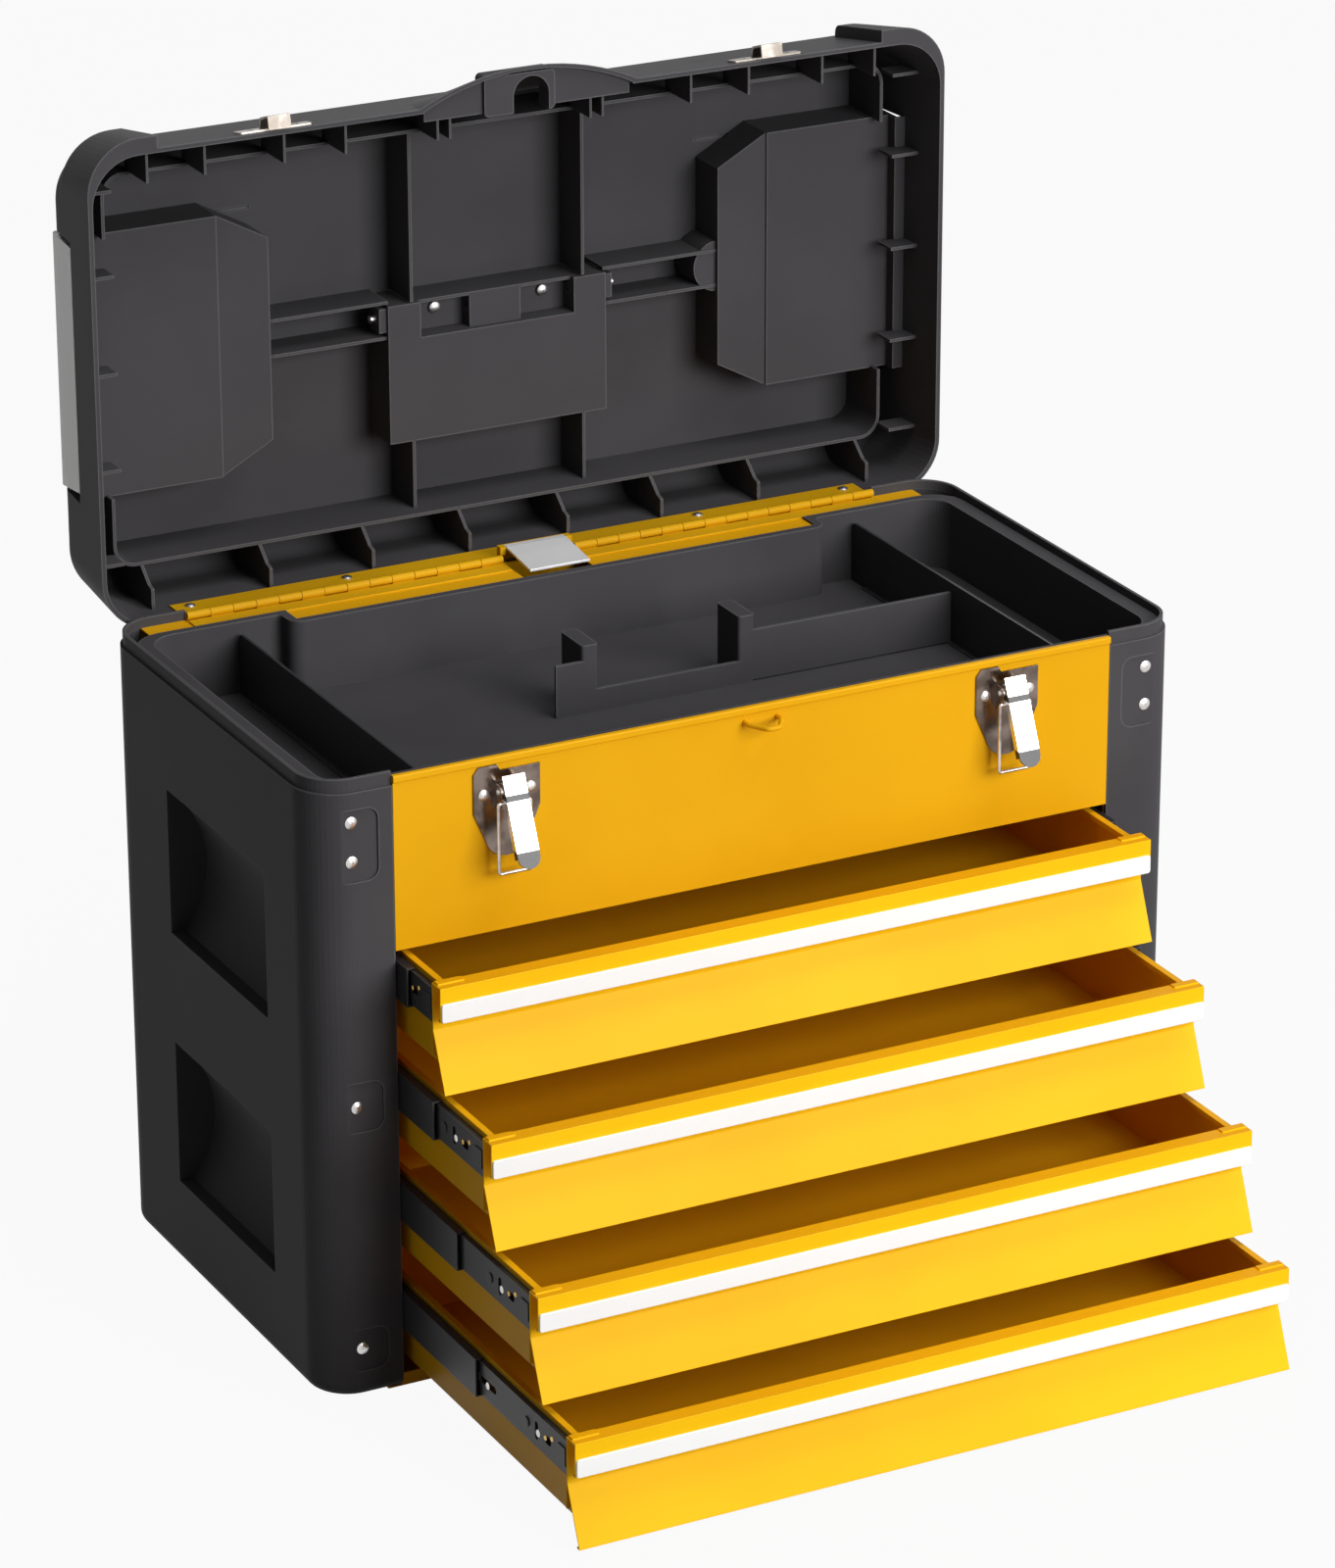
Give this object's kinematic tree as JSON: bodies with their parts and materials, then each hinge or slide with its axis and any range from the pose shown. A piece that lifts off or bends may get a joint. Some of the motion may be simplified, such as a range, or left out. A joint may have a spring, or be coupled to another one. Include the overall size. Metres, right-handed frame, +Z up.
{
  "type": "drawer tool box",
  "caption": "Tool box with a hinged lid, a divided top tray, sliding drawers, draw latches and moulded side grips.",
  "frame": {"origin": "centre of the base, where the body stands on the floor", "axes": "+Z up, -Y out of the front where the drawers open, +X to the right seen from the front"},
  "size_m": [0.56, 0.5842, 0.6779],
  "materials": {
    "black_plastic": "fine leather-like grain, satin",
    "yellow_paint": "powder coat, semi-gloss",
    "trim_white": "smooth, semi-gloss",
    "black_steel": "black zinc, satin",
    "nickel": "bright nickel plate",
    "grey_steel": "zinc plated",
    "smoky_plastic": "smoky, half clear"
  },
  "bodies": {
    "body": {"side_moulding_left": "black_plastic", "side_moulding_right": "black_plastic", "carcass": "yellow_paint", "back_panel": "yellow_paint", "side_rivets": "grey_steel", "front_panel": "yellow_paint", "padlock_staple": "yellow_paint", "tray_shelf": "yellow_paint", "top_tray": "black_plastic", "tray_partitions": "black_steel", "tray_divider": "black_plastic", "slide_outer_1": "black_steel", "slide_outer_2": "black_steel", "slide_outer_3": "black_steel", "slide_outer_4": "black_steel", "latch_base_left": "nickel", "latch_base_right": "nickel", "latch_pins": "grey_steel", "hinge_leaf_body": "yellow_paint", "hinge_pin": "grey_steel"},
    "drawer_1": {"drawer_tray_1": "yellow_paint", "drawer_front_1": "yellow_paint", "drawer_trim_1": "trim_white", "slide_inner_1": "black_steel"},
    "slide_1": {"slide_mid_1": "black_steel"},
    "drawer_2": {"drawer_tray_2": "yellow_paint", "drawer_front_2": "yellow_paint", "drawer_trim_2": "trim_white", "slide_inner_2": "black_steel"},
    "slide_2": {"slide_mid_2": "black_steel"},
    "drawer_3": {"drawer_tray_3": "yellow_paint", "drawer_front_3": "yellow_paint", "drawer_trim_3": "trim_white", "slide_inner_3": "black_steel"},
    "slide_3": {"slide_mid_3": "black_steel"},
    "drawer_4": {"drawer_tray_4": "yellow_paint", "drawer_front_4": "yellow_paint", "drawer_trim_4": "trim_white", "slide_inner_4": "black_steel"},
    "slide_4": {"slide_mid_4": "black_steel"},
    "lid": {"lid_shell": "black_plastic", "hinge_leaf_lid": "yellow_paint", "hinge_rivets": "grey_steel", "lid_stop_plate": "nickel", "latch_strikes": "nickel", "handle_pins": "grey_steel", "bracket_screws": "grey_steel"},
    "handle": {"carry_handle": "black_plastic"},
    "cover_left": {"organiser_cover_left": "smoky_plastic"},
    "lever_left": {"latch_lever_left": "nickel"},
    "bail_left": {"latch_bail_left": "nickel"},
    "cover_right": {"organiser_cover_right": "smoky_plastic"},
    "lever_right": {"latch_lever_right": "nickel"},
    "bail_right": {"latch_bail_right": "nickel"}
  },
  "joints": [
    {"name": "drawer_1_slide", "type": "slide", "parent": "body", "child": "drawer_1", "axis": [0, -1, 0], "range_m": [-0.056, 0.1815]},
    {"name": "slide_1_mid", "type": "slide", "parent": "body", "child": "slide_1", "axis": [0, -1, 0], "range_m": [-0.028, 0.09075]},
    {"name": "drawer_2_slide", "type": "slide", "parent": "body", "child": "drawer_2", "axis": [0, -1, 0], "range_m": [-0.118, 0.1195]},
    {"name": "slide_2_mid", "type": "slide", "parent": "body", "child": "slide_2", "axis": [0, -1, 0], "range_m": [-0.059, 0.05975]},
    {"name": "drawer_3_slide", "type": "slide", "parent": "body", "child": "drawer_3", "axis": [0, -1, 0], "range_m": [-0.1735, 0.064]},
    {"name": "slide_3_mid", "type": "slide", "parent": "body", "child": "slide_3", "axis": [0, -1, 0], "range_m": [-0.08675, 0.032]},
    {"name": "drawer_4_slide", "type": "slide", "parent": "body", "child": "drawer_4", "axis": [0, -1, 0], "range_m": [-0.217, 0.0205]},
    {"name": "slide_4_mid", "type": "slide", "parent": "body", "child": "slide_4", "axis": [0, -1, 0], "range_m": [-0.1085, 0.01025]},
    {"name": "lid_hinge", "type": "hinge", "parent": "body", "child": "lid", "pos_m": [0, 0.1389, 0.377], "axis": [1, 0, 0], "range_deg": [0, 90.3]},
    {"name": "handle_hinge", "type": "hinge", "parent": "lid", "child": "handle", "pos_m": [0, 0.1989, 0.519], "axis": [1, 0, 0], "range_deg": [0, 90]},
    {"name": "cover_left_hinge", "type": "hinge", "parent": "lid", "child": "cover_left", "pos_m": [0, 0.2179, 0.593], "axis": [1, 0, 0], "range_deg": [0, 110]},
    {"name": "lever_left_hinge", "type": "hinge", "parent": "body", "child": "lever_left", "pos_m": [0, -0.1515, 0.359], "axis": [1, 0, 0], "range_deg": [-50, 0]},
    {"name": "bail_left_hinge", "type": "hinge", "parent": "lever_left", "child": "bail_left", "pos_m": [0, -0.15397, 0.35288], "axis": [1, 0, 0], "range_deg": [-140, 0]},
    {"name": "cover_right_hinge", "type": "hinge", "parent": "lid", "child": "cover_right", "pos_m": [0, 0.2179, 0.593], "axis": [1, 0, 0], "range_deg": [0, 110]},
    {"name": "lever_right_hinge", "type": "hinge", "parent": "body", "child": "lever_right", "pos_m": [0, -0.1515, 0.359], "axis": [1, 0, 0], "range_deg": [-50, 0]},
    {"name": "bail_right_hinge", "type": "hinge", "parent": "lever_right", "child": "bail_right", "pos_m": [0, -0.15397, 0.35288], "axis": [1, 0, 0], "range_deg": [-140, 0]}
  ],
  "couplings": [
    {"joint": "slide_1_mid", "follows": "drawer_1_slide", "ratio": 0.5},
    {"joint": "slide_2_mid", "follows": "drawer_2_slide", "ratio": 0.5},
    {"joint": "slide_3_mid", "follows": "drawer_3_slide", "ratio": 0.5},
    {"joint": "slide_4_mid", "follows": "drawer_4_slide", "ratio": 0.5}
  ]
}
